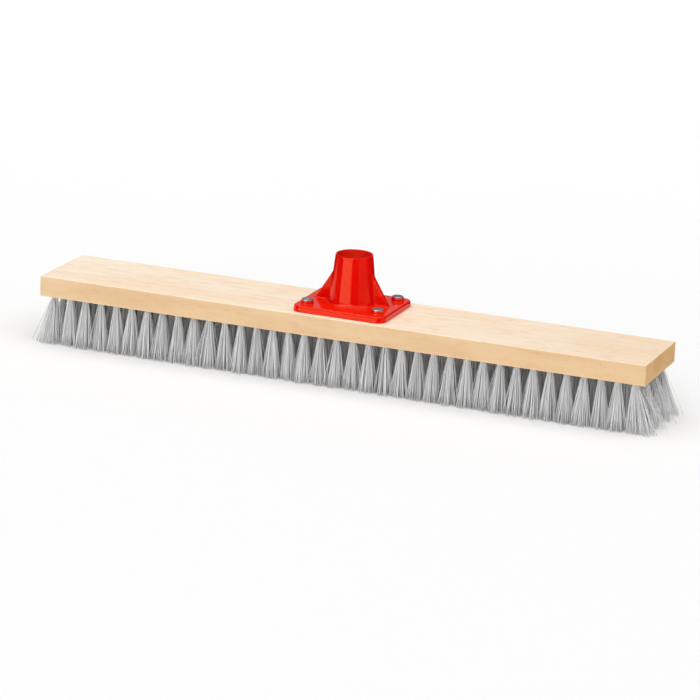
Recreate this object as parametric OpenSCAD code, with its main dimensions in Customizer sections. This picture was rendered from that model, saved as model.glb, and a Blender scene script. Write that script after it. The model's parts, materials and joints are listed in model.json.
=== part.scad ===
// Push broom head: a wooden block with four rows of drawn bristle tufts and a
// moulded handle socket held on top by four screws. Millimetres, +Z up, +X along
// the block. The origin is under the middle of the block, on the plane of the tips.

/* [Block] */
// Length of the wooden block
block_len = 600; // [450:10:900]
// Width of the block, front to back
block_w = 90; // [84:1:120]
// Thickness of the block
block_t = 19.5; // [18:0.5:26]
// Width of the chamfer along every edge of the block
edge_chamfer = 0.8; // [0.4:0.1:2]

/* [Bristles] */
// Free length of the bristles below the block
bristle_len = 47; // [40:1:80]
// Distance between tufts along a row
tuft_pitch = 16; // [15:0.5:20]
// Distance between the rows
row_spacing = 24; // [18:1:25]
// Smallest distance from the block's end to the middle of the last tuft
end_margin = 12; // [11:1:20]
// Diameter of a tuft where it leaves the block
tuft_root_d = 5; // [4:0.25:6]
// Diameter of a tuft at its tips
tuft_tip_d = 14; // [9:0.5:14.5]
// Outward lean of the last tuft at each end of a row, in degrees
end_lean = 10; // [0:1:14]
// Depth of a tuft hole
tuft_hole_depth = 13; // [10:0.5:15]

/* [Handle socket] */
// Length of the base plate, along the block
plate_len = 92; // [86:1:110]
// Width of the base plate
plate_w = 78; // [72:1:84]
// Thickness of the base plate
plate_t = 6; // [5:0.5:8]
// Corner radius of the base plate at its foot
plate_corner_r = 9; // [6:0.5:12]
// Height of the socket above the block
socket_h = 52; // [46:1:70]
// Outside diameter of the tube at its rim
tube_rim_d = 34.8; // [34.4:0.2:38]
// Outside diameter of the tube where it meets the plate
tube_foot_d = 44.8; // [42:0.2:46]
// Diameter of the straight handle bore
handle_bore_d = 28.4; // [24.4:0.2:28.4]
// Length of the straight handle bore, up from the floor that the handle stands on
handle_bore_len = 32; // [26:1:34]
// Thickness of the tube's wall at the rim
rim_t = 1.2; // [1:0.1:1.6]
// Height of the stiffening gussets above the block
gusset_h = 33; // [24:1:40]
// Distance from the tube's axis to the foot of a gusset
gusset_reach = 36.5; // [32:0.5:37]
// Thickness of a gusset
gusset_t = 4; // [2.5:0.5:6]

/* [Screws] */
// Distance between the screws along the block
screw_spacing_x = 70; // [68:1:74]
// Distance between the screws across the block
screw_spacing_y = 51; // [48:1:54]
// Diameter of a screw head
screw_head_d = 10.4; // [8:0.2:11]
// Length of a screw under its head
screw_len = 25; // [20:1:25]
// Diameter of a screw over its thread
screw_d = 4.9; // [4:0.1:5]

/* [Hidden] */
$fn = 96;
EPS = 0.01;                       // overlap where two shapes are joined
CUT = 1;                          // how far a cutter runs past the face it opens

// Rows, from the front of the block to the back
ROWS = ["front", "mid_front", "mid_back", "back"];
function row_y(i) = (i - (len(ROWS) - 1) / 2) * row_spacing;

// Tufts along one row; the last one at each end leans outwards
tuft_count = floor((block_len - 2 * end_margin) / tuft_pitch) + 1;
function tuft_x(i) = (i - (tuft_count - 1) / 2) * tuft_pitch;
INNER_TUFTS = [1 : tuft_count - 2];
ENDS = [-1, 1];
end_x = tuft_x(tuft_count - 1);

// A filament bends about a point 0.15 of its free length below its root, so the
// fixed stub of each tuft ends there. The free brushes of a row hang from round
// knuckles on that line, and the leaning ones at its ends from balls.
flex_drop = 0.15 * bristle_len;
flex_gap = 0.3;
knuckle_len = 3.6;
stub_len = flex_drop - tuft_root_d / 2 - flex_gap;

block_top = bristle_len + block_t;
tuft_hole_d = tuft_root_d + 0.2;

// Flat wire anchor that pins the fold of a tuft in its hole; its ends bite the wood
anchor_len = 6.2;
anchor_t = 0.5;
anchor_h = 2.2;
fold_h = 1.6;                     // height of the filaments' fold over the anchor
anchor_depth = tuft_hole_depth - fold_h;

plate_edge_h = 4.6;               // height of the plate's steep edge, below its bevel
plate_draft = 0.4;
plate_bevel = 1.2;
foot_fillet_r = 4;
tube_core_r = handle_bore_d / 2 + 2;   // inside the tube's wall, where its fillet and gussets begin
gusset_sink = 0.3;                // how far a gusset's top runs into the tube
boss_d = 11.8;
boss_draft = 0.4;
boss_h = 3.1;

// The floor of the socket lies just above the bosses. It is cored out from below,
// on both sides of a rib.
bore_floor_h = plate_t + boss_h + 0.3;
floor_t = 3;
core_w = 20;
core_rib_t = 3;
flare_h = bore_floor_h + handle_bore_len;

screw_clear_d = 5.4;
screw_hole_d = screw_d + 0.1;
screw_hole_spare = 0.5;           // depth of a pilot hole past the point of its screw
thread_pitch = 1.8;
thread_depth = 0.6;
plain_shank = boss_h + plate_t;
shank_d = screw_d - 0.6;
screw_point_len = 4;
head_rim_h = 0.9;
head_crown_h = 0.4;
head_crown_inset = 0.9;
recess_w = 1.2;
recess_len = 5.4;
recess_depth = 0.8;
recess_turn = 20;

wood = [0.93, 0.80, 0.63];
red = [0.88, 0.10, 0.05];
steel = [0.62, 0.63, 0.64];
bristle = [0.70, 0.71, 0.72];
wire = [0.80, 0.77, 0.66];

SCREWS = [["front_left", -1, -1], ["front_right", 1, -1], ["back_left", -1, 1], ["back_right", 1, 1]];

// ---------------------------------------------------------------- shared shapes

// Rectangle with its four corners cut off at 45 degrees
module chamfered_rect(w, h, c) {
    polygon([
        [-w / 2 + c, -h / 2], [w / 2 - c, -h / 2], [w / 2, -h / 2 + c], [w / 2, h / 2 - c],
        [w / 2 - c, h / 2], [-w / 2 + c, h / 2], [-w / 2, h / 2 - c], [-w / 2, -h / 2 + c]
    ]);
}

// Box centred on the origin with every edge chamfered
module chamfered_box(l, w, t, c) {
    intersection() {
        linear_extrude(t, center = true) chamfered_rect(l, w, c);
        rotate([90, 0, 0]) linear_extrude(w, center = true) chamfered_rect(l, t, c);
        rotate([90, 0, 90]) linear_extrude(l, center = true) chamfered_rect(w, t, c);
    }
}

// Rounded slab whose sides slope: its corner radius goes from r_low to r_high,
// about corner centres at +-cx, +-cy
module drafted_slab(cx, cy, h, r_low, r_high) {
    for (sx = ENDS, sy = ENDS)
        translate([sx * cx, sy * cy, 0]) cylinder(h = h, r1 = r_low, r2 = r_high);
    rotate([90, 0, 90]) linear_extrude(2 * cx, center = true)
        polygon([[-cy - r_low, 0], [cy + r_low, 0], [cy + r_high, h], [-cy - r_high, h]]);
    rotate([90, 0, 0]) linear_extrude(2 * cy, center = true)
        polygon([[-cx - r_low, 0], [cx + r_low, 0], [cx + r_high, h], [-cx - r_high, h]]);
}

// Places its children on the underside of the block, at inner tuft i of the row at y
module at_tuft(i, y) {
    translate([tuft_x(i), y, bristle_len]) children();
}

// Places its children at the last tuft of one end, leaning outwards
module at_end_tuft(end, y) {
    translate([end * end_x, y, bristle_len]) rotate([0, -end * end_lean, 0]) children();
}

// Places its children at each screw, on top of its boss
module at_screw(s) {
    translate([s[1] * screw_spacing_x / 2, s[2] * screw_spacing_y / 2, block_top + plate_t + boss_h])
        children();
}

// ------------------------------------------------------------------------ block

module tuft_hole() {
    translate([0, 0, -CUT]) cylinder(h = tuft_hole_depth + CUT, d = tuft_hole_d);
}

module block() {
    color(wood) difference() {
        translate([0, 0, bristle_len + block_t / 2])
            chamfered_box(block_len, block_w, block_t, edge_chamfer);
        for (r = [0 : len(ROWS) - 1]) {
            for (i = INNER_TUFTS) at_tuft(i, row_y(r)) tuft_hole();
            for (end = ENDS) at_end_tuft(end, row_y(r)) tuft_hole();
        }
        for (s = SCREWS) at_screw(s)
            translate([0, 0, -screw_len - screw_hole_spare])
                cylinder(h = screw_len + screw_hole_spare, d = screw_hole_d);
    }
}

// ---------------------------------------------------------------- handle socket

module socket_plate() {
    cx = plate_len / 2 - plate_corner_r;
    cy = plate_w / 2 - plate_corner_r;
    edge_r = plate_corner_r - plate_draft;
    drafted_slab(cx, cy, plate_edge_h, plate_corner_r, edge_r);
    translate([0, 0, plate_edge_h])
        drafted_slab(cx, cy, plate_t - plate_edge_h, edge_r, edge_r - plate_bevel);
}

module socket_tube() {
    translate([0, 0, plate_t - EPS])
        cylinder(h = socket_h - plate_t + EPS, d1 = tube_foot_d, d2 = tube_rim_d);
    // Fillet around the foot of the tube
    translate([0, 0, plate_t - EPS]) rotate_extrude() difference() {
        translate([tube_core_r, 0])
            square([tube_foot_d / 2 + foot_fillet_r - tube_core_r, foot_fillet_r]);
        translate([tube_foot_d / 2 + foot_fillet_r, foot_fillet_r]) circle(r = foot_fillet_r);
    }
}

module socket_gusset() {
    tube_r_at_top = tube_rim_d / 2
        + (tube_foot_d - tube_rim_d) / 2 * (socket_h - gusset_h) / (socket_h - plate_t);
    rotate([90, 0, 0]) linear_extrude(gusset_t, center = true)
        polygon([
            [tube_core_r, plate_t - EPS], [gusset_reach, plate_t - EPS],
            [tube_r_at_top - gusset_sink, gusset_h], [tube_core_r, gusset_h]
        ]);
}

module socket_boss() {
    cylinder(h = boss_h + EPS, d1 = boss_d + boss_draft, d2 = boss_d);
}

// One of the two pockets under the socket's floor
module core_pocket() {
    pocket_w = (core_w - core_rib_t) / 2;
    translate([-core_w / 2, core_rib_t / 2, -CUT])
        cube([core_w, pocket_w, bore_floor_h - floor_t + CUT]);
}

module handle_socket() {
    color(red) difference() {
        translate([0, 0, block_top]) union() {
            socket_plate();
            socket_tube();
            for (a = [0, 180]) rotate([0, 0, a]) socket_gusset();
            for (s = SCREWS)
                translate([s[1] * screw_spacing_x / 2, s[2] * screw_spacing_y / 2, plate_t - EPS])
                    socket_boss();
        }
        // Straight bore for the handle, then a flared mouth up to the thin rim
        translate([0, 0, block_top + bore_floor_h])
            cylinder(h = handle_bore_len + EPS, d = handle_bore_d);
        translate([0, 0, block_top + flare_h])
            cylinder(h = socket_h - flare_h + EPS, d1 = handle_bore_d, d2 = tube_rim_d - 2 * rim_t);
        translate([0, 0, block_top]) for (a = [0, 180]) rotate([0, 0, a]) core_pocket();
        for (s = SCREWS) at_screw(s)
            translate([0, 0, -plain_shank - CUT]) cylinder(h = plain_shank + 2 * CUT, d = screw_clear_d);
    }
}

// ----------------------------------------------------------------------- screws

// Half outline of the threaded part, from the plain shank down to the point
function thread_outline(z) =
    let (n = floor((screw_len - plain_shank - screw_point_len) / thread_pitch), r = screw_d / 2)
    concat(
        [for (i = [0 : n - 1], k = [0, 1])
            [r - (k == 0 ? thread_depth : 0), z - (i + k / 2) * thread_pitch]],
        [[r - thread_depth, z - n * thread_pitch], [0, -screw_len]]
    );

module screw(s) {
    color(steel) at_screw(s) difference() {
        union() {
            cylinder(h = head_rim_h, d = screw_head_d);
            translate([0, 0, head_rim_h])
                cylinder(h = head_crown_h, d1 = screw_head_d, d2 = screw_head_d - 2 * head_crown_inset);
            rotate_extrude() polygon(concat(
                [[0, EPS], [shank_d / 2, EPS], [shank_d / 2, -plain_shank]],
                thread_outline(-plain_shank)
            ));
        }
        // Cross recess
        for (a = [0, 90]) rotate([0, 0, a + recess_turn])
            translate([-recess_len / 2, -recess_w / 2, head_rim_h + head_crown_h - recess_depth])
                cube([recess_len, recess_w, recess_depth + CUT]);
    }
}

// ----------------------------------------------------------------------- tufts

// Free brush of a tuft, cut off level at the tips. It hangs from a round knuckle on
// the line about which its row bends.
module free_brush() {
    translate([0, 0, -flex_drop]) rotate([0, 90, 0])
        cylinder(h = knuckle_len, d = tuft_root_d, center = true);
    translate([0, 0, -bristle_len])
        cylinder(h = bristle_len - flex_drop, d1 = tuft_tip_d, d2 = tuft_root_d);
}

module tufts(y) {
    color(bristle) for (i = INNER_TUFTS) at_tuft(i, y) free_brush();
}

// Ball end and cone of a leaning brush. Its ball sits on the same bending line, and
// its cone runs past the plane of the tips, where end_tufts() trims it.
module end_brush() {
    drop = flex_drop / cos(end_lean);
    reach = bristle_len / cos(end_lean);
    spare = tuft_tip_d / 2 * tan(end_lean) + CUT;
    taper = (tuft_tip_d - tuft_root_d) / (reach - drop);
    translate([0, 0, -drop]) sphere(d = tuft_root_d);
    translate([0, 0, -reach - spare])
        cylinder(h = reach + spare - drop, d1 = tuft_tip_d + taper * spare, d2 = tuft_root_d);
}

module end_tufts(y) {
    color(bristle) for (end = ENDS) intersection() {
        translate([end * end_x, y, bristle_len / 2])
            cube([tuft_pitch * 4, row_spacing, bristle_len], center = true);
        at_end_tuft(end, y) end_brush();
    }
}

// Anchor of one tuft: a piece of flat wire set across the hole, near its bottom
module anchor() {
    translate([-anchor_t / 2, -anchor_len / 2, anchor_depth - anchor_h])
        cube([anchor_t, anchor_len, anchor_h]);
}

// Folded root of a tuft, held in its hole astride the anchor, with its short stub
module tuft_root(stub) {
    difference() {
        translate([0, 0, -stub]) cylinder(h = tuft_hole_depth + stub, d = tuft_root_d);
        anchor();
    }
}

module tuft_roots(y) {
    color(bristle) for (i = INNER_TUFTS) at_tuft(i, y) tuft_root(stub_len);
}

module end_tuft_roots(y) {
    color(bristle) for (end = ENDS) at_end_tuft(end, y)
        tuft_root(flex_drop / cos(end_lean) - tuft_root_d / 2 - flex_gap);
}

module anchors(y) {
    color(wire) {
        for (i = INNER_TUFTS) at_tuft(i, y) anchor();
        for (end = ENDS) at_end_tuft(end, y) anchor();
    }
}

// ----------------------------------------------------------------------- pieces

block();
handle_socket();
for (s = SCREWS)
    screw(s);
for (r = [0 : len(ROWS) - 1]) {
    tufts(row_y(r));
    end_tufts(row_y(r));
    tuft_roots(row_y(r));
    end_tuft_roots(row_y(r));
    anchors(row_y(r));
}
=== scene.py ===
"""Push broom head: its looks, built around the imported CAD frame.

Everything is in metres, +Z up and +X along the block, with the bristle tips at z = 0.
"""
import json
import math

import bmesh
import bpy
import numpy as np
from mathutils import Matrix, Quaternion, Vector


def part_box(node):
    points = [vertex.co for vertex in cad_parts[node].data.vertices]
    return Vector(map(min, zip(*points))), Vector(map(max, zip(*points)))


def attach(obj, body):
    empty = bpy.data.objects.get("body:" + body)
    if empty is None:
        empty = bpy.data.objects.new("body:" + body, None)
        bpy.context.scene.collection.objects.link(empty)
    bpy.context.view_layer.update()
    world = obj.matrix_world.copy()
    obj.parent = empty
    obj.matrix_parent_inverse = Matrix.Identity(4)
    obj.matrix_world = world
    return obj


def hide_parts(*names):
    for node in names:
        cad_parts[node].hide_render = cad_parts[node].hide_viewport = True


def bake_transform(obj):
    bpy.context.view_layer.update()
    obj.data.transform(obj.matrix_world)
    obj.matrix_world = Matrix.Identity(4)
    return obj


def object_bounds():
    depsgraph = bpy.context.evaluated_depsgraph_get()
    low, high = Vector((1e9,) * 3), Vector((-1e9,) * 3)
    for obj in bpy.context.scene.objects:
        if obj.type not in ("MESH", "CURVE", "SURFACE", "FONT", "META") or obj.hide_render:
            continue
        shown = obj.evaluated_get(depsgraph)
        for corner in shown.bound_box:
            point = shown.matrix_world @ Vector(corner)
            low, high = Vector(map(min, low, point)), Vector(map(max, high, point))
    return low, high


MM = 0.001
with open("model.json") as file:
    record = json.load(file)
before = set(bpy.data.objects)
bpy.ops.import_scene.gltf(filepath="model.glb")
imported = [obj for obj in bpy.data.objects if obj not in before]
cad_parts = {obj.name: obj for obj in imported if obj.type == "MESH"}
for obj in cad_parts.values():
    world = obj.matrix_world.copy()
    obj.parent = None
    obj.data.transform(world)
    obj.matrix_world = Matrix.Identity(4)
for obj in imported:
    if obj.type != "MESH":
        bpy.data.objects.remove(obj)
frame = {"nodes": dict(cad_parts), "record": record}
cad_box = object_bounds()

ROWS = ["front", "mid_front", "mid_back", "back"]
SCREWS = ["front_left", "front_right", "back_left", "back_right"]
SCREW_HEAD_T = 1.3 * MM

# Sizes of the moulding in millimetres; heights are above the block's top
SOCKET = dict(
    plate_corner=9.0, plate_t=6.0, plate_draft=0.087, plate_edge=1.6,
    rim_r=17.4, rim_wall=1.2, rim_edge=0.45, rim_outer_edge=0.3, bore_edge=1.0,
    foot_r=22.4, foot_fillet=4.0,
    gusset_reach=36.8, gusset_h=35.0, gusset_half_t=2.0, gusset_edge=0.8, gusset_fillet=1.2,
    boss_r=5.9, boss_edge=0.5, boss_fillet=0.6, screw_hole_r=2.7,
    core_half=10.0, core_middle=5.75, core_half_w=4.25, core_h=7.2,
)


# ---------------------------------------------------------------- mesh helpers

def add_object(name, data):
    made = bpy.data.objects.new(name, data)
    bpy.context.scene.collection.objects.link(made)
    return made


def new_piece(name, vertices, faces, material):
    """A smooth-shaded mesh object made from lists or arrays of vertices and faces."""
    mesh = bpy.data.meshes.new(name)
    mesh.from_pydata(np.asarray(vertices).tolist(), [], [list(f) for f in faces])
    mesh.shade_smooth()
    mesh.materials.append(material)
    return add_object(name, mesh)


def apply_modifiers(piece):
    """Turns the piece's modifiers into its mesh."""
    depsgraph = bpy.context.evaluated_depsgraph_get()
    piece.data = bpy.data.meshes.new_from_object(piece.evaluated_get(depsgraph))
    piece.modifiers.clear()


def subtract(piece, cutter):
    """Cuts the cutter, an object made only for this, out of the piece."""
    cut = piece.modifiers.new("cut", "BOOLEAN")
    cut.operation = "DIFFERENCE"
    cut.object = cutter
    cut.solver = "EXACT"
    cut.use_self = True
    apply_modifiers(piece)
    bpy.data.objects.remove(cutter)


def smooth_below(piece, degrees):
    """Smooth shading with sharp edges where faces meet at more than this angle."""
    piece.data.shade_smooth()
    piece.data.set_sharp_from_angle(angle=math.radians(degrees))


def finish_piece(piece, body, slot, *nodes):
    """Attaches a finished piece to its body, unless its body is None, and hides the CAD nodes it stands
    for. The slot is not used."""
    if body:
        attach(piece, body)
    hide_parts(*nodes)


def box_size(node):
    low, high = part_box(node)
    return high - low


def box_centre(node):
    low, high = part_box(node)
    return (low + high) / 2


def turns(sides):
    """The angles of this many even steps round a circle."""
    return np.arange(sides) * 2 * math.pi / sides


def lathe(name, radii, heights, material):
    """Closed solid about Z. Row i of radii holds the radius at each angle, at heights[i]; the solid
    is closed by a point on the axis at the first and at the last height."""
    count, sides = radii.shape
    angles = turns(sides)
    rings = np.stack([
        radii * np.cos(angles), radii * np.sin(angles), np.tile(heights[:, None], sides),
    ], axis=2).reshape(-1, 3)
    first, last = len(rings), len(rings) + 1
    vertices = np.vstack([rings, [[0, 0, heights[0]], [0, 0, heights[-1]]]])
    faces = []
    for i in range(sides):
        j = (i + 1) % sides
        faces.append([first, j, i])
        faces.append([last, (count - 1) * sides + i, (count - 1) * sides + j])
        for k in range(count - 1):
            faces.append([k * sides + i, k * sides + j, (k + 1) * sides + j, (k + 1) * sides + i])
    return new_piece(name, vertices, faces, material)


# -------------------------------------------------------------------- materials

class Shader:
    """A node material under construction."""

    def __init__(self, name):
        self.material = bpy.data.materials.new(name)
        self.material.use_nodes = True
        self.nodes = self.material.node_tree.nodes
        self.links = self.material.node_tree.links
        self.surface = self.nodes["Principled BSDF"]

    def node(self, kind, inputs=(), **settings):
        """Adds a node. Inputs is a dict of a socket's name or number to a value or a node's output."""
        made = self.nodes.new(f"ShaderNode{kind}")
        for key, value in settings.items():
            setattr(made, key, value)
        for key, value in dict(inputs).items():
            self.feed(made.inputs[key], value)
        return made

    def feed(self, socket, value):
        if isinstance(value, bpy.types.NodeSocket):
            self.links.new(value, socket)
        else:
            socket.default_value = value

    def set(self, **values):
        """Feeds sockets of the surface shader, by name with _ for a space."""
        for key, value in values.items():
            self.feed(self.surface.inputs[key.replace("_", " ")], value)

    def math(self, operation, a, b=0.0, c=0.0):
        return self.node("Math", {0: a, 1: b, 2: c}, operation=operation).outputs[0]

    def place(self, scale=(1, 1, 1)):
        """The point on the piece at rest, stretched along each axis."""
        point = self.node("TexCoord").outputs["Object"]
        return self.node("Mapping", {"Vector": point, "Scale": scale}).outputs[0]

    def axes(self, vector):
        """The X, Y and Z of a vector, as three outputs."""
        return self.node("SeparateXYZ", {0: vector}).outputs

    def noise(self, scale, detail=2.0, roughness=0.5):
        """Noise whose scale is given along each axis, in cycles per metre."""
        made = self.node("TexNoise", {
            "Vector": self.place(scale), "Scale": 1.0, "Detail": detail, "Roughness": roughness,
        })
        return made.outputs["Fac"]

    def between(self, value, low, high, to_low=0.0, to_high=1.0):
        """Smooth ramp of a value from low..high to to_low..to_high."""
        made = self.node("MapRange", {
            "Value": value, "From Min": low, "From Max": high, "To Min": to_low, "To Max": to_high,
        }, interpolation_type="SMOOTHSTEP")
        return made.outputs["Result"]

    def mix(self, share, a, b):
        """Colour a, going to colour b as share goes from 0 to 1."""
        return self.node("Mix", {0: share, 6: a, 7: b}, data_type="RGBA").outputs[2]

    def bump(self, height, strength, distance):
        made = self.node("Bump", {"Height": height, "Strength": strength, "Distance": distance})
        self.set(Normal=made.outputs["Normal"])


def srgb(r, g, b):
    """Linear RGBA of an sRGB colour given as 0 to 255."""
    def linear(c):
        c = c / 255
        return c / 12.92 if c <= 0.04045 else ((c + 0.055) / 1.055) ** 2.4
    return (linear(r), linear(g), linear(b), 1)


RING_SPACING = 7.5 * MM
RING_WARP = 14 * MM
PITH_Y = 90 * MM
PITH_Z = -60 * MM
PITH_DRIFT = 0.05              # how far the pith moves across for each metre along


def growth_rings(s):
    """Late-wood bands about a pith that lies below the board and drifts sideways along it."""
    point = s.axes(s.place())
    pith_y = s.math("MULTIPLY_ADD", point[0], PITH_DRIFT, PITH_Y)
    from_pith_y = s.math("SUBTRACT", point[1], pith_y)
    from_pith_z = s.math("SUBTRACT", point[2], PITH_Z)
    across = s.node("CombineXYZ", {1: from_pith_y, 2: from_pith_z}).outputs[0]
    radius = s.node("VectorMath", {0: across}, operation="LENGTH").outputs["Value"]
    warp = s.noise((3, 22, 22), detail=3)
    bent = s.math("MULTIPLY_ADD", warp, RING_WARP, radius)
    wave = s.math("SINE", s.math("MULTIPLY", bent, 2 * math.pi / RING_SPACING))
    return s.between(wave, 0.1, 1.0)


def wood_material():
    """Pale planed wood: growth rings, fibres, clouds, dark flecks, a warmer right end and a painted
    highlight along the lower edge."""
    s = Shader("block_wood")
    low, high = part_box("block")
    late_wood = growth_rings(s)
    fibres = s.noise((14, 420, 420), detail=4, roughness=0.6)
    clouds = s.between(s.noise((9, 24, 44), detail=4, roughness=0.55), 0.3, 0.7)
    mottle = s.noise((60, 130, 160), detail=4, roughness=0.65)
    flecks = s.between(s.noise((110, 900, 900), detail=1), 0.68, 0.78)

    # The top and bottom faces are paler than the long edges, and those than the end grain
    facing = s.axes(s.node("NewGeometry").outputs["True Normal"])
    on_side = s.between(s.math("ABSOLUTE", facing[2]), 0.75, 0.35)
    on_end = s.between(s.math("ABSOLUTE", facing[0]), 0.4, 0.8)
    point = s.axes(s.place())
    # Painted highlight: the lower edge is lightened where its rounding would catch light from the floor
    painted_edge_light = s.between(point[2], low.z + 2.2 * MM, low.z + 0.6 * MM)
    warm_end = s.between(point[0], 20 * MM, high.x, 0.0, 0.18)

    top = s.mix(clouds, srgb(249, 235, 214), srgb(247, 223, 194))
    side = s.mix(clouds, srgb(226, 195, 154), srgb(218, 182, 139))
    end = s.mix(clouds, srgb(236, 192, 134), srgb(221, 174, 117))
    colour = s.mix(on_end, s.mix(on_side, top, side), end)
    colour = s.mix(warm_end, colour, srgb(218, 172, 116))
    colour = s.mix(s.math("MULTIPLY", late_wood, 0.07), colour, srgb(214, 166, 124))
    colour = s.mix(s.between(fibres, 0.35, 0.7, 0.0, 0.09), colour, srgb(205, 158, 112))
    colour = s.mix(s.between(mottle, 0.48, 0.70, 0.0, 0.17), colour, srgb(205, 152, 104))
    colour = s.mix(s.math("MULTIPLY", flecks, 0.30), colour, srgb(176, 124, 80))
    # Painted highlight of floor light along the rounded lower edge
    colour = s.mix(s.math("MULTIPLY", painted_edge_light, 0.35), colour, srgb(238, 206, 163))
    s.set(Base_Color=colour, Roughness=s.between(fibres, 0.3, 0.7, 0.52, 0.66), Specular_IOR_Level=0.3)
    s.bump(s.math("MULTIPLY_ADD", late_wood, 0.25, fibres), 0.25, 0.2 * MM)
    return s.material


def plastic_material():
    """Glossy moulded red plastic with a faint orange peel and cloudy pigment."""
    s = Shader("socket_plastic")
    pigment = s.noise((60, 60, 60), detail=3)
    peel = s.noise((260, 260, 260), detail=2)
    gloss = s.between(peel, 0.3, 0.7, 0.12, 0.19)
    # The bore keeps the dull face of its core
    plan = s.node("VectorMath", {0: s.place((1, 1, 0))}, operation="LENGTH").outputs["Value"]
    bore_r = (SOCKET["rim_r"] - SOCKET["rim_wall"]) * MM
    in_bore = s.between(plan, bore_r, bore_r - 0.2 * MM)
    # Painted sheen: the upward faces are painted a little towards orange, for the light that falls on
    # them from above
    facing = s.axes(s.node("NewGeometry").outputs["True Normal"])
    painted_top_sheen = s.between(facing[2], 0.6, 0.95)
    red = s.mix(pigment, (0.72, 0.0012, 0.0006, 1), (0.67, 0.0006, 0.0003, 1))
    s.set(
        Base_Color=s.mix(painted_top_sheen, red, (0.80, 0.012, 0.001, 1)),
        Roughness=s.node("Mix", {0: in_bore, 2: gloss, 3: 0.6}).outputs[0],
        Specular_IOR_Level=0.5,
        Specular_Tint=(1.0, 0.47, 0.20, 1),
    )
    s.bump(peel, 0.05, 0.3 * MM)
    return s.material


def zinc_material():
    """Bright zinc plating, a little cloudy."""
    s = Shader("screw_zinc")
    cloud = s.noise((420, 420, 420), detail=4, roughness=0.6)
    s.set(
        Base_Color=s.mix(cloud, (0.52, 0.60, 0.58, 1), (0.33, 0.39, 0.385, 1)),
        Roughness=s.between(cloud, 0.3, 0.7, 0.34, 0.50),
        Metallic=1.0,
    )
    s.bump(cloud, 0.08, 0.1 * MM)
    return s.material


def bristle_material():
    """Silver grey synthetic filament; the shade attribute varies from filament to filament."""
    s = Shader("bristle")
    shade = s.node("Attribute", attribute_name="shade").outputs["Fac"]
    streak = s.noise((900, 900, 60), detail=1)
    tone = s.math("MULTIPLY_ADD", streak, 0.25, s.math("MULTIPLY", shade, 0.85))
    s.set(
        Base_Color=s.mix(tone, srgb(197, 198, 200), srgb(249, 250, 251)),
        Roughness=s.between(streak, 0.3, 0.7, 0.30, 0.45),
        Specular_IOR_Level=0.5,
    )
    # Thin filaments let some light through
    s.set(Subsurface_Weight=0.5, Subsurface_Radius=(1, 1, 1), Subsurface_Scale=0.6 * MM)
    return s.material


def wire_material():
    """Flat tinned wire of the anchors, hidden inside the block."""
    s = Shader("anchor_wire")
    cloud = s.noise((300, 300, 300), detail=2)
    colour = s.mix(cloud, (0.58, 0.55, 0.45, 1), (0.42, 0.40, 0.33, 1))
    s.set(Base_Color=colour, Metallic=1.0, Roughness=0.4)
    return s.material


# ------------------------------------------------------------------------ block

TUFTS_PER_ROW = 37
END_LEAN = math.radians(10)
HOLE_RADIUS = 2.6 * MM
HOLE_DEPTH = 13 * MM
PILOT_RADIUS = 2.1 * MM
PILOT_BELOW = 0.5 * MM         # how far a pilot hole goes on below its screw's point
OVERSHOOT = 2 * MM             # how far a drill stands out of the surface that it opens
BLOCK_EDGE = 0.8 * MM

block_low, block_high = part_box("block")
tip_diameter = box_size("tufts_front").y
pitch = (box_size("tufts_front").x - tip_diameter) / (TUFTS_PER_ROW - 3)
row_y = {row: box_centre(f"tufts_{row}").y for row in ROWS}


def tuft_x(i):
    return (i - (TUFTS_PER_ROW - 1) / 2) * pitch


def hole_lean(i):
    """Lean of tuft hole i about Y: only the last hole at each end leans, with its tips outwards."""
    if i == 0:
        return -END_LEAN
    if i == TUFTS_PER_ROW - 1:
        return END_LEAN
    return 0.0


def drill(bm, mouth, lean, radius, start, stop, sides=20):
    """Adds a cylinder to bm, from start to stop along an axis through mouth that leans about Y."""
    up = Vector((-math.sin(lean), 0, math.cos(lean)))
    side = Vector((math.cos(lean), 0, math.sin(lean)))
    rings = []
    for along in (start, stop):
        middle = mouth + up * along
        rings.append([
            bm.verts.new(middle + radius * (side * math.cos(a) + Vector((0, math.sin(a), 0))))
            for a in turns(sides)
        ])
    bm.faces.new(rings[0][::-1])
    bm.faces.new(rings[1])
    for k in range(sides):
        m = (k + 1) % sides
        bm.faces.new([rings[0][k], rings[0][m], rings[1][m], rings[1][k]])


def block_cutter():
    """Every tuft hole, and the pilot holes of the screws, as one object."""
    bm = bmesh.new()
    for row in ROWS:
        for i in range(TUFTS_PER_ROW):
            mouth = Vector((tuft_x(i), row_y[row], block_low.z))
            drill(bm, mouth, hole_lean(i), HOLE_RADIUS, -OVERSHOOT, HOLE_DEPTH)
    for place in SCREWS:
        point = box_centre(f"screw_{place}")
        point.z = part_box(f"screw_{place}")[0].z
        drill(bm, point, 0, PILOT_RADIUS, -PILOT_BELOW, block_high.z - point.z + OVERSHOOT)
    mesh = bpy.data.meshes.new("block_cutter")
    bm.to_mesh(mesh)
    bm.free()
    return add_object("block_cutter", mesh)


def build_block(material):
    """Planed block with softened edges and its drilled holes."""
    bm = bmesh.new()
    bmesh.ops.create_cube(bm, size=1)
    size = block_high - block_low
    centre = (block_high + block_low) / 2
    for v in bm.verts:
        v.co = v.co * size + centre
    bmesh.ops.bevel(bm, geom=bm.edges[:], offset=BLOCK_EDGE, segments=4, profile=0.5, affect="EDGES")
    mesh = bpy.data.meshes.new("wood_block")
    bm.to_mesh(mesh)
    bm.free()
    mesh.materials.append(material)
    block = add_object("wood_block", mesh)
    subtract(block, block_cutter())
    smooth_below(block, degrees=40)
    block.modifiers.new("flat faces", "WEIGHTED_NORMAL").keep_sharp = True
    apply_modifiers(block)
    finish_piece(block, "head", "block_wood", "block")


# --------------------------------------------------------------- handle socket

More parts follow.
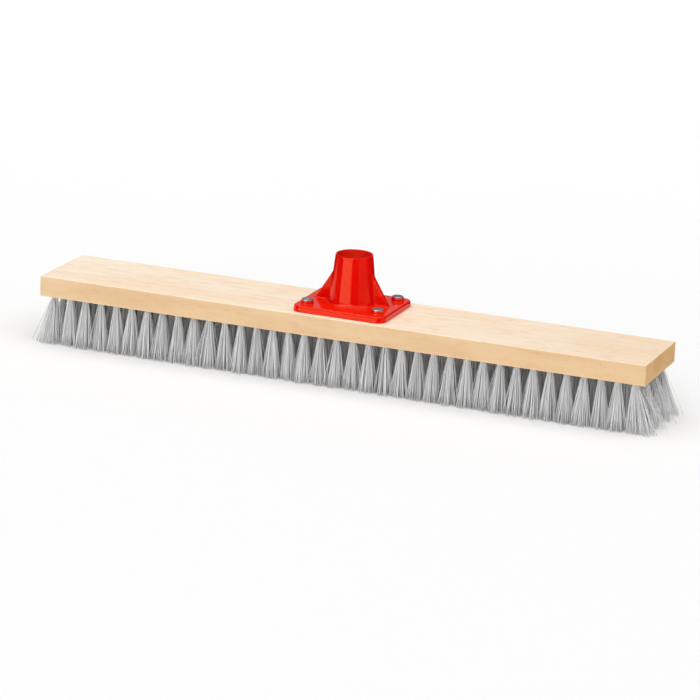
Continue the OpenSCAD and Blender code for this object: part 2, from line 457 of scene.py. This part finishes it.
def fillet_union(a, b, r):
    """Union of two distance fields, with a fillet of radius r where they meet."""
    return np.maximum(np.minimum(a, b), r) - np.hypot(np.maximum(r - a, 0), np.maximum(r - b, 0))


def rounded_cut(a, b, r):
    """Intersection of two distance fields, with their shared edge rounded to radius r."""
    return np.minimum(np.maximum(a, b), -r) + np.hypot(np.maximum(a + r, 0), np.maximum(b + r, 0))


def rectangle_field(x, y, half_x, half_y, corner):
    """Distance from a rectangle with rounded corners."""
    dx = np.abs(x) - half_x + corner
    dy = np.abs(y) - half_y + corner
    return np.hypot(np.maximum(dx, 0), np.maximum(dy, 0)) + np.minimum(np.maximum(dx, dy), 0) - corner


def cell_corner(array, corner, cells):
    """The array's values at one corner of every cell of its grid."""
    return array[tuple(slice(corner[n], corner[n] + cells[n]) for n in range(3))]


def crossing_points(values, crossed, count):
    """For each crossed cell, the mean of the points where the surface cuts its edges, in cells."""
    cells = crossed.shape
    total = np.zeros((count, 3))
    hits = np.zeros(count)
    for start in np.ndindex(2, 2, 2):
        for axis in range(3):
            if start[axis]:
                continue
            end = list(start)
            end[axis] = 1
            a = cell_corner(values, start, cells)[crossed]
            b = cell_corner(values, end, cells)[crossed]
            cut = (a < 0) != (b < 0)
            point = np.tile(np.array(start, float), (count, 1))
            point[cut, axis] += a[cut] / (a[cut] - b[cut])
            total[cut] += point[cut]
            hits += cut
    return total / hits[:, None]


def pull_to_surface(field, points, cell, rounds=3):
    """Moves the points onto the surface where the field is 0, by Newton steps."""
    step = 0.05 * cell
    least_square = 0.25            # keeps a step short where a crease makes the slope small
    for _ in range(rounds):
        slope = np.stack([
            (field(*(points + step * unit).T) - field(*(points - step * unit).T)) / (2 * step)
            for unit in np.eye(3)
        ], axis=1)
        square = np.maximum((slope ** 2).sum(1), least_square)
        move = -field(*points.T)[:, None] * slope / square[:, None]
        points = points + np.clip(move, -cell / 2, cell / 2)
    return points


def surface_net(field, low, high, cell):
    """Closed quad mesh of the surface where field(x, y, z) is 0: one vertex in each cell it crosses."""
    grid = [np.arange(a, b + cell, cell) for a, b in zip(low, high)]
    values = field(*np.meshgrid(*grid, indexing="ij", sparse=True))
    inside = values < 0
    cells = np.array(values.shape) - 1
    count = sum(cell_corner(inside, c, cells).astype(np.int8) for c in np.ndindex(2, 2, 2))
    crossed = (count > 0) & (count < 8)
    where = np.argwhere(crossed)
    index = np.full(crossed.shape, -1)
    index[crossed] = np.arange(len(where))
    vertices = np.array(low) + (where + crossing_points(values, crossed, len(where))) * cell
    vertices = pull_to_surface(field, vertices, cell)

    # One quad round each grid edge that the surface cuts
    units = np.eye(3, dtype=int)
    faces = []
    for axis in range(3):
        before = np.take(inside, range(0, cells[axis]), axis)
        after = np.take(inside, range(1, cells[axis] + 1), axis)
        edge = np.argwhere(before != after)
        b, c = units[(axis + 1) % 3], units[(axis + 2) % 3]
        quad = np.stack([index[tuple(p.T)] for p in (edge, edge - b, edge - b - c, edge - c)], axis=1)
        entering = ~before[tuple(edge.T)]
        quad[entering] = quad[entering][:, ::-1]
        faces.append(quad)
    return vertices, np.concatenate(faces)


def socket_field(x, y, z):
    """Distance field of the moulding, in millimetres from the middle of its foot."""
    m = SOCKET
    size = box_size("handle_socket") / MM
    screws = box_centre("screw_back_right") / MM
    boss_top = (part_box("screw_back_right")[1].z - SCREW_HEAD_T - block_high.z) / MM
    bore = next(m for m in frame["record"]["mounts"] if m["name"] == "handle_bore")
    bore_r = bore["dims"]["r_mm"]
    bore_middle = (bore["pos_m"][2] - block_high.z) / MM
    floor_z = bore_middle - bore["dims"]["length_mm"] / 2
    flare_z = bore_middle + bore["dims"]["length_mm"] / 2
    around = np.hypot(x, y)

    plate = rectangle_field(x, y, size.x / 2, size.y / 2, m["plate_corner"]) + m["plate_draft"] * z
    plate = rounded_cut(plate, z - m["plate_t"], m["plate_edge"])

    slope = (m["foot_r"] - m["rim_r"]) / (size.z - m["plate_t"])
    tube = (around - m["foot_r"] + slope * (z - m["plate_t"])) / math.hypot(1, slope)
    body = fillet_union(plate, tube, m["foot_fillet"])

    # Two gussets, one on each side of the tube along the block
    rise = m["gusset_h"] - m["plate_t"]
    run = m["gusset_reach"] - m["foot_r"] + slope * rise
    incline = (np.abs(x) - m["gusset_reach"]) * rise + (z - m["plate_t"]) * run
    incline = incline / math.hypot(run, rise)
    gusset = rounded_cut(np.abs(y) - m["gusset_half_t"], incline, m["gusset_edge"])
    body = fillet_union(body, gusset, m["gusset_fillet"])

    boss_at = np.hypot(np.abs(x) - screws.x, np.abs(y) - screws.y)
    boss = rounded_cut(boss_at - m["boss_r"], z - boss_top, m["boss_edge"])
    body = fillet_union(body, boss, m["boss_fillet"])
    body = rounded_cut(body, z - size.z, m["rim_outer_edge"])

    # The bore stands on a floor and flares to the thin rim
    flare = (m["rim_r"] - m["rim_wall"] - bore_r) / (size.z - flare_z)
    hollow = around - bore_r - flare * np.maximum(z - flare_z, 0)
    hollow = rounded_cut(hollow, floor_z - z, m["bore_edge"])
    body = rounded_cut(body, -hollow, m["rim_edge"])

    # Two cored pockets below the bore's floor, and the holes of the screws
    pocket_y = np.abs(np.abs(y) - m["core_middle"]) - m["core_half_w"]
    pocket = np.maximum(np.abs(x) - m["core_half"], pocket_y)
    body = np.maximum(body, -np.maximum(pocket, z - m["core_h"]))
    body = np.maximum(body, m["screw_hole_r"] - boss_at)
    return np.maximum(body, -z)


MESH_CELL = 0.6                # grid step of the moulding's mesh, in millimetres


def build_socket(material):
    """The moulded handle socket, with a fillet in every inner corner."""
    low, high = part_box("handle_socket")
    size = (high - low) / MM
    margin = 1.5 * MESH_CELL
    start = (-size.x / 2 - margin, -size.y / 2 - margin, -margin)
    stop = (size.x / 2 + margin, size.y / 2 + margin, size.z + margin)
    vertices, faces = surface_net(socket_field, start, stop, MESH_CELL)
    socket = new_piece("socket_moulding", vertices * MM + np.array([0, 0, low.z]), faces, material)
    finish_piece(socket, "head", "socket_plastic", "handle_socket")


# ----------------------------------------------------------------------- screws

HEAD_EDGE = 0.45 * MM
DISH_SHARE = 0.80              # radius of the sunken middle, as a share of the head's
DISH_DEPTH = 0.35 * MM
SEAT_EDGE = 0.2 * MM           # chamfer under the head
THREAD_PITCH = 1.8 * MM
THREAD_DEPTH = 0.6 * MM
CREST_HALF_W = 0.3             # half the width of the thread's ridge, as a share of its pitch
RINGS_PER_TURN = 8
CORE_RADIUS = 1.8 * MM
POINT_LEN = 4 * MM
POINT_RADIUS = 0.2 * MM
RECESS_LEN = 5.2 * MM
RECESS_W = 1.1 * MM
RECESS_DEPTH = 0.75 * MM
RECESS_TAPER = 0.7             # size of the recess at its floor, as a share of its size above the head
RECESS_ABOVE = 1 * MM          # how far its cutter stands above the head
FIRST_TURN = 0.35              # where the first screw's recess points, in radians
TURN_STEP = 0.9                # and how much further round each next one does


def screw_rings(low_z, high_z, head_r, sides):
    """Radii and heights of the rings of a screw, from its point to the middle of its head. Its thread
    ends at the top of the block."""
    seat = high_z - SCREW_HEAD_T
    heights, radii = [], []

    # Threaded part: one start, wound round the core and running out at both ends
    thread_top = block_high.z
    z = low_z
    while z < thread_top:
        phase = ((z - low_z) / THREAD_PITCH - turns(sides) / (2 * math.pi)) % 1
        crest = np.maximum(0, 1 - np.abs(phase - 0.5) / CREST_HALF_W)
        taper = min(1, (z - low_z) / POINT_LEN)
        run_out = min(1, (thread_top - z) / THREAD_PITCH)
        heights.append(z)
        ridge = THREAD_DEPTH * crest * run_out
        radii.append(POINT_RADIUS + taper * (CORE_RADIUS - POINT_RADIUS + ridge))
        z += THREAD_PITCH / RINGS_PER_TURN

    # Plain shank, underside and rim of the head, then its sunken middle
    outline = [(CORE_RADIUS, thread_top), (CORE_RADIUS, seat)]
    outline += [(head_r - SEAT_EDGE, seat), (head_r, seat + SEAT_EDGE)]
    for a in np.radians([0, 30, 60, 90]):
        outline.append((head_r - HEAD_EDGE + HEAD_EDGE * math.cos(a),
                        high_z - HEAD_EDGE + HEAD_EDGE * math.sin(a)))
    for share in (1.0, 0.93, 0.7, 0.4, 0.1):
        outline.append((head_r * DISH_SHARE * share, high_z - DISH_DEPTH * (1 - share ** 4)))
    heights += [z for r, z in outline]
    radii += [np.full(sides, r) for r, z in outline]
    return np.array(radii), np.array(heights)


def recess_cutter(centre, top, turn):
    """Two crossed bars that taper downwards."""
    bm = bmesh.new()
    for arm in range(2):
        made = bmesh.ops.create_cube(bm, size=1)
        a = turn + arm * math.pi / 2
        for v in made["verts"]:
            taper = RECESS_TAPER if v.co.z < 0 else 1.0
            along = v.co.x * RECESS_LEN * taper
            across = v.co.y * RECESS_W * taper
            v.co = Vector((
                centre.x + along * math.cos(a) - across * math.sin(a),
                centre.y + along * math.sin(a) + across * math.cos(a),
                top - RECESS_DEPTH if v.co.z < 0 else top + RECESS_ABOVE,
            ))
    mesh = bpy.data.meshes.new("recess")
    bm.to_mesh(mesh)
    bm.free()
    return add_object("recess", mesh)


def build_screw(place, material, turn):
    """Thin flat head with a sunken middle and a cross recess, over a coarse wood thread."""
    node = f"screw_{place}"
    low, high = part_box(node)
    centre = box_centre(node)
    radii, heights = screw_rings(low.z, high.z, box_size(node).x / 2, sides=48)
    screw = lathe(f"{node}_zinc", radii, heights, material)
    for v in screw.data.vertices:
        v.co += Vector((centre.x, centre.y, 0))
    subtract(screw, recess_cutter(centre, high.z, turn))
    smooth_below(screw, degrees=35)
    finish_piece(screw, "head", "screw_steel", node)


# --------------------------------------------------------------------- bristles

FILAMENTS_PER_TUFT = 76
FILAMENT_RADIUS = 0.27 * MM
FILAMENT_SIDES = 4
ROOT_RADIUS = 2.35 * MM
TIP_RADIUS = 9.8 * MM
END_FAN = (1.35, 1.60)         # how much wider the last tufts fan out, at the left and right ends
LOCKS_PER_TUFT = 15            # filaments of a tuft cling together in this many locks
LOCK_PULL = 0.20
IN_HOLE = 10 * MM              # length of a filament that is modelled inside its hole
ROOT_SHARE = 0.95              # a tuft's width there, as a share of its width at the hole's mouth
FLARE_POWER = 0.95             # below 1, a tuft fans out a little sooner near its root
# Shares of the free length at which a filament has a ring of vertices
RINGS = (0.0, 0.15, 0.35, 0.57, 0.79, 1.0)
# Outward lean of the tufts nearest the left and right ends, from the last one inwards
OUTWARD_LEAN = ((0.115, 0.02), (0.155, 0.025))
# How much filaments and tufts differ: a standard deviation, or the least and the most
VARY = dict(
    tip_radius=0.10, tip_angle=0.18, lock_pull=(0.3, 1), fan=(0.95, 1.06), stray_reach=(1.1, 1.45),
    tuft_lean=0.014, loose_lean=(0.05, 0.20), bow=0.4 * MM, trim=0.35 * MM, shortfall=(0, 2.6 * MM),
    thickness=(0.88, 1.12), tuft_shade=0.05,
)
STAY_IN_TUFT = 0.93            # share of the filaments that don't stick out of their tuft
FULL_LENGTH = 0.80             # share of the filaments that aren't cut short
LOOSE_AT_END = 0.10            # share of the last tufts' filaments that lean out further
SHADE_BETA = 2.2               # both parameters of the beta distribution of the shades


def sunflower(count):
    """Points that fill a unit circle evenly, as radius and angle."""
    k = np.arange(count)
    return np.sqrt((k + 0.5) / count), k * math.pi * (3 - math.sqrt(5))


def tuft_noise(deviation, rng):
    """A random number for each tuft of a row, repeated for each of its filaments."""
    return np.repeat(rng.normal(0, deviation, TUFTS_PER_ROW), FILAMENTS_PER_TUFT)


def tuft_fans(rng):
    """Where the filaments of one row start and end, in plan and about their tuft's own axis."""
    radius, angle = sunflower(FILAMENTS_PER_TUFT)
    lock_radius, lock_angle = sunflower(LOCKS_PER_TUFT)
    locks = lock_radius * np.exp(1j * lock_angle)
    roots, tips = [], []
    for i in range(TUFTS_PER_ROW):
        phase = np.exp(1j * rng.uniform(0, 2 * math.pi))
        unit = radius * np.exp(1j * angle) * phase
        spread = unit * rng.normal(1, VARY["tip_radius"], FILAMENTS_PER_TUFT)
        spread = spread * np.exp(1j * rng.normal(0, VARY["tip_angle"], FILAMENTS_PER_TUFT))
        turned = locks * np.exp(1j * rng.uniform(0, 2 * math.pi))
        nearest = turned[np.abs(spread[:, None] - turned[None]).argmin(1)]
        towards_lock = (nearest - spread) * LOCK_PULL
        spread = spread + towards_lock * rng.uniform(*VARY["lock_pull"], FILAMENTS_PER_TUFT)
        spread = spread * rng.uniform(*VARY["fan"])
        stray = rng.random(FILAMENTS_PER_TUFT) > STAY_IN_TUFT
        spread = spread * np.where(stray, rng.uniform(*VARY["stray_reach"], FILAMENTS_PER_TUFT), 1)
        roots.append(unit * ROOT_RADIUS)
        tips.append(spread * TIP_RADIUS)
    return np.concatenate(roots), np.concatenate(tips)


def filament_paths(row, rng):
    """Centre lines of one row's filaments, as an array of filament, ring and x, y, z."""
    count = TUFTS_PER_ROW * FILAMENTS_PER_TUFT
    tuft = np.repeat(np.arange(TUFTS_PER_ROW), FILAMENTS_PER_TUFT)
    from_end = np.minimum(tuft, TUFTS_PER_ROW - 1 - tuft)
    outward = np.where(tuft < TUFTS_PER_ROW / 2, -1, 1)
    root, tip = tuft_fans(rng)

    lean = np.zeros(count)
    for side, angles in zip((-1, 1), OUTWARD_LEAN):
        for k, angle in enumerate(angles):
            lean[(from_end == k) & (outward == side)] = angle
    loose_end = (from_end == 0) & (rng.random(count) < LOOSE_AT_END)
    lean = outward * (lean + np.where(loose_end, rng.uniform(*VARY["loose_lean"], count), 0))
    lean = lean + tuft_noise(VARY["tuft_lean"], rng)
    lean_y = tuft_noise(VARY["tuft_lean"], rng)
    fan_x = np.where(from_end == 0, np.where(outward < 0, *END_FAN), 1.0)
    bow = rng.normal(0, VARY["bow"], (count, 2))
    length = block_low.z - cad_box[0].z - np.abs(rng.normal(0, VARY["trim"], count))
    cut_short = rng.random(count) > FULL_LENGTH
    length = length - np.where(cut_short, rng.uniform(*VARY["shortfall"], count), 0)

    hole_slope = np.where(from_end == 0, outward * math.tan(END_LEAN), 0.0)
    paths = [np.stack([
        tuft_x(tuft) + root.real * ROOT_SHARE - IN_HOLE * hole_slope,
        row_y[row] + root.imag * ROOT_SHARE,
        np.full(count, block_low.z + IN_HOLE),
    ], axis=1)]
    for share in RINGS:
        arch = math.sin(math.pi * share)
        down = share * length
        spread = share ** FLARE_POWER
        x = root.real + (tip.real * fan_x - root.real) * spread + bow[:, 0] * arch
        y = root.imag + (tip.imag - root.imag) * spread + bow[:, 1] * arch
        paths.append(np.stack([
            tuft_x(tuft) + x + np.tan(lean) * down,
            row_y[row] + y + np.tan(lean_y) * down,
            block_low.z - down,
        ], axis=1))
    return np.stack(paths, axis=1)


def filament_pattern(rings):
    """Faces of one filament, and the place of each face's corners on a unit square."""
    faces, places = [], []
    for r in range(rings - 1):
        for a in range(FILAMENT_SIDES):
            b = (a + 1) % FILAMENT_SIDES
            corners = [(r + 1, a), (r + 1, b), (r, b), (r, a)]
            faces.append([ring * FILAMENT_SIDES + side for ring, side in corners])
            places.append([((a + step) / FILAMENT_SIDES, ring / rings)
                           for (ring, side), step in zip(corners, (0, 1, 1, 0))])
    last = (rings - 1) * FILAMENT_SIDES
    square = [(0, 1 - 1 / rings), (1, 1 - 1 / rings), (1, 1), (0, 1)]
    faces.append(list(range(FILAMENT_SIDES)))
    faces.append([last + a for a in range(FILAMENT_SIDES)][::-1])
    places += [square, square]
    return np.array(faces), np.array(places)


def build_row(row, material, rng):
    """Every filament of one row, as one mesh."""
    paths = filament_paths(row, rng)
    count, rings = paths.shape[:2]
    radius = FILAMENT_RADIUS * rng.uniform(*VARY["thickness"], count)
    angles = turns(FILAMENT_SIDES)[None] + rng.uniform(0, 2 * math.pi, count)[:, None]
    circle = np.stack([np.cos(angles), np.sin(angles), np.zeros_like(angles)], axis=2)
    vertices = paths[:, :, None] + circle[:, None] * radius[:, None, None, None]
    per_filament = rings * FILAMENT_SIDES
    pattern, places = filament_pattern(rings)
    faces = pattern[None] + (np.arange(count) * per_filament)[:, None, None]
    piece = new_piece(f"bristles_{row}", vertices.reshape(-1, 3), faces.reshape(-1, 4), material)

    # Each filament has one cell of a square grid to itself
    cells = math.ceil(math.sqrt(count))
    cell = np.stack([np.arange(count) % cells, np.arange(count) // cells], axis=1)
    margin = 0.1               # left free on each side of a cell, as a share of it
    uv = (cell[:, None, None] + margin + (1 - 2 * margin) * places[None]) / cells
    piece.data.uv_layers.new(name="OFBake").data.foreach_set("uv", uv.reshape(-1).astype(np.float32))

    shade = rng.beta(SHADE_BETA, SHADE_BETA, count) + tuft_noise(VARY["tuft_shade"], rng)
    attribute = piece.data.attributes.new("shade", "FLOAT", "POINT")
    shade = np.repeat(np.clip(shade, 0, 1), per_filament)
    attribute.data.foreach_set("value", shade.astype(np.float32))

    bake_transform(piece)
    finish_piece(piece, None, "bristle",
                 f"tufts_{row}", f"end_tufts_{row}", f"tuft_roots_{row}", f"end_tuft_roots_{row}")


# ----------------------------------------------------------------- studio, camera

CAMERA_TARGET = Vector((-0.45 * MM, 0, 25.76 * MM))
CAMERA_AZIMUTH = 21.126
CAMERA_ELEVATION = 16.241
CAMERA_DISTANCE = 3.448
CAMERA_ROLL = 2.452
CAMERA_LENS = 190.3
FILL = 0.30                    # strength of the even light from all around


def direction(azimuth, elevation):
    """Unit vector towards a point at this azimuth and elevation; azimuth 0 is in front, -Y."""
    a, e = math.radians(azimuth), math.radians(elevation)
    return Vector((math.sin(a) * math.cos(e), -math.cos(a) * math.cos(e), math.sin(e)))


def aim(thing, target, azimuth, elevation, distance, roll=0.0):
    """Places a camera or a light at this direction from the target, looking at it."""
    back = direction(azimuth, elevation)
    thing.location = target + back * distance
    thing.rotation_mode = "QUATERNION"
    look = (-back).to_track_quat("-Z", "Y")
    thing.rotation_quaternion = look @ Quaternion((0, 0, 1), math.radians(roll))


def add_camera():
    camera = add_object("camera", bpy.data.cameras.new("camera"))
    aim(camera, CAMERA_TARGET, CAMERA_AZIMUTH, CAMERA_ELEVATION, CAMERA_DISTANCE, CAMERA_ROLL)
    camera.data.sensor_width = 36
    camera.data.lens = CAMERA_LENS
    camera.data.clip_start = 0.1
    camera.data.clip_end = 50
    bpy.context.scene.camera = camera


def softbox(name, azimuth, elevation, width, height, radiance, distance=2.6):
    """Rectangular light that faces the handle socket. Returns its object."""
    data = bpy.data.lights.new(name, "AREA")
    data.shape = "RECTANGLE"
    data.size = width
    data.size_y = height
    data.energy = radiance * math.pi * width * height
    box = add_object(name, data)
    aim(box, Vector((0, 0, 0.09)), azimuth, elevation, distance)
    return box


def soft_sun(name, azimuth, elevation, strength, spread):
    """Even light from far away, as soft as a source this many degrees across."""
    data = bpy.data.lights.new(name, "SUN")
    data.energy = strength
    data.angle = math.radians(spread)
    aim(add_object(name, data), Vector((0, 0, 0)), azimuth, elevation, distance=3)


def add_lights():
    """Soft light from above, the front and one side, and strips for the highlights on the socket."""
    soft_sun("overhead", 0, 80, 2.1, 90)
    soft_sun("front", 3, 25, 0.72, 40)
    soft_sun("side", 78, 25, 0.35, 50)
    softbox("front_strip", -18, -5, 2.7, 0.9, 3.2)
    softbox("right_strip", 73, -5, 2.4, 0.9, 0.55)
    softbox("back_strip", 201, 18, 3.0, 0.9, 0.38)
    # This one only draws light lines along the rounded upper edges
    edge_strip = softbox("edge_strip", -20, 52, 2.6, 0.55, 7.0)
    edge_strip.visible_diffuse = False


def add_world():
    """A white backdrop for the camera, and a dim even fill that gloss doesn't show."""
    world = bpy.data.worlds.new("studio")
    world.use_nodes = True
    nodes, links = world.node_tree.nodes, world.node_tree.links
    ray = nodes.new("ShaderNodeLightPath")
    strength = nodes.new("ShaderNodeMath")
    strength.operation = "MULTIPLY_ADD"
    links.new(ray.outputs["Is Diffuse Ray"], strength.inputs[0])
    strength.inputs[1].default_value = FILL
    links.new(ray.outputs["Is Camera Ray"], strength.inputs[2])
    background = nodes["Background"]
    background.inputs["Color"].default_value = (1, 1, 1, 1)
    links.new(strength.outputs[0], background.inputs["Strength"])
    bpy.context.scene.world = world
    bpy.context.scene.view_settings.view_transform = "Standard"


def add_floor():
    """Plain white floor, left out of reflections so that the plastic keeps its deep colour."""
    s = Shader("floor_white")
    s.set(Base_Color=(0.88, 0.88, 0.88, 1), Roughness=0.9, Specular_IOR_Level=0.0)
    half = 12.0
    corners = [(-half, -half, 0), (half, -half, 0), (half, half, 0), (-half, half, 0)]
    floor = new_piece("floor", corners, [(0, 1, 2, 3)], s.material)
    floor.visible_glossy = False


# ----------------------------------------------------------------------- build

add_camera()
add_lights()
add_world()
add_floor()

zinc = zinc_material()
build_block(wood_material())
build_socket(plastic_material())
for number, place in enumerate(SCREWS):
    build_screw(place, zinc, turn=FIRST_TURN + TURN_STEP * number)
bristle = bristle_material()
for number, row in enumerate(ROWS):
    build_row(row, bristle, np.random.default_rng(100 + number))
wire = wire_material()
for row in ROWS:
    for slot in frame["nodes"][f"anchors_{row}"].material_slots:
        slot.material = wire
